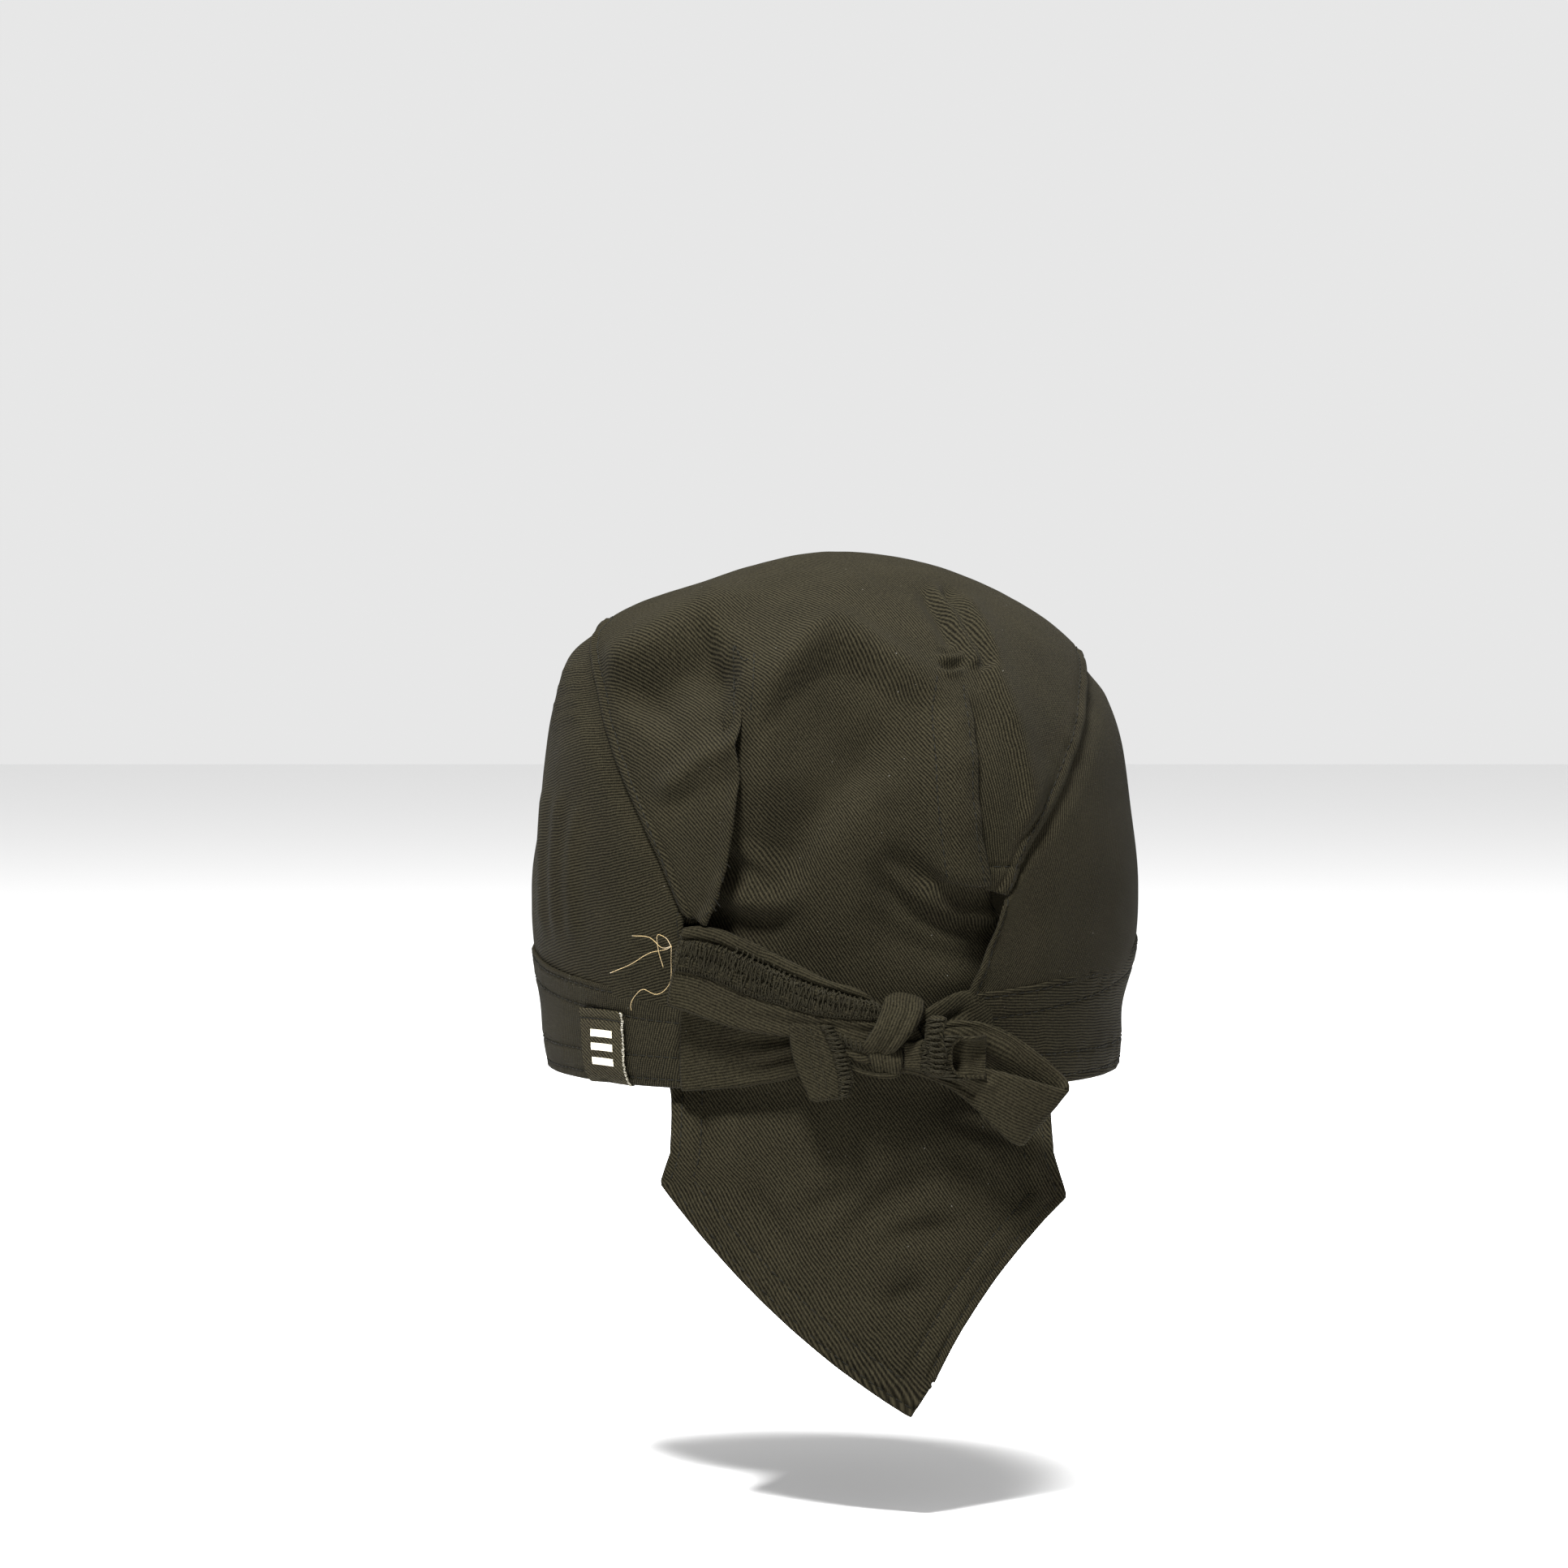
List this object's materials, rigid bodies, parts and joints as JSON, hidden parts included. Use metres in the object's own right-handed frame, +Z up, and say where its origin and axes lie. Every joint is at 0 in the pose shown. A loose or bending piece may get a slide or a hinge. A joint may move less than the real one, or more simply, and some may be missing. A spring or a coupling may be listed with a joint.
{
  "type": "chef skull cap",
  "caption": "Close-fitting domed cloth cap with a headband, a knotted tie at the nape and a pointed tail hanging below it.",
  "frame": {"origin": "middle of the opening for the head, level with the lower edge of the headband", "axes": "+Z up, +Y the way the wearer faces, +X the wearer's right, so the knot and the tail are on the -Y side"},
  "size_m": [0.177, 0.2203, 0.2395],
  "materials": {
    "crown_twill": "black cotton twill, diagonal wales 0.8 mm apart",
    "side_twill": "black cotton twill",
    "band_twill": "black cotton twill, two stitched layers",
    "lining": "black cotton",
    "strap_twill": "black cotton twill, sewn into flat tubes",
    "label_weave": "black woven label with three plain cream bars"
  },
  "bodies": {
    "cap": {"crown_panel": "crown_twill", "back_panel": "crown_twill", "right_side_panel": "side_twill", "left_side_panel": "side_twill", "headband": "band_twill", "sweatband": "lining", "woven_label": "label_weave", "left_tie": "strap_twill", "right_tie": "strap_twill", "knot_core": "strap_twill", "knot_wrap": "strap_twill"},
    "tail": {"tail_flap": "crown_twill"},
    "left_ends": {"long_tie_end": "strap_twill", "short_tie_end": "strap_twill"},
    "right_ends": {"bow_loop": "strap_twill", "cut_tie_end": "strap_twill"}
  },
  "joints": [
    {"name": "tail_swing", "type": "hinge", "parent": "cap", "child": "tail", "pos_m": [0, -0.0945, -0.0171], "axis": [-1, 0, 0], "range_deg": [-12, 70]},
    {"name": "left_ends_swing", "type": "hinge", "parent": "cap", "child": "left_ends", "pos_m": [0.0006, -0.1079, 0.02], "axis": [0, 0, 1], "range_deg": [0, 70]},
    {"name": "right_ends_swing", "type": "hinge", "parent": "cap", "child": "right_ends", "pos_m": [0.0218, -0.1075, 0.01], "axis": [0, 0, -1], "range_deg": [0, 45]}
  ]
}
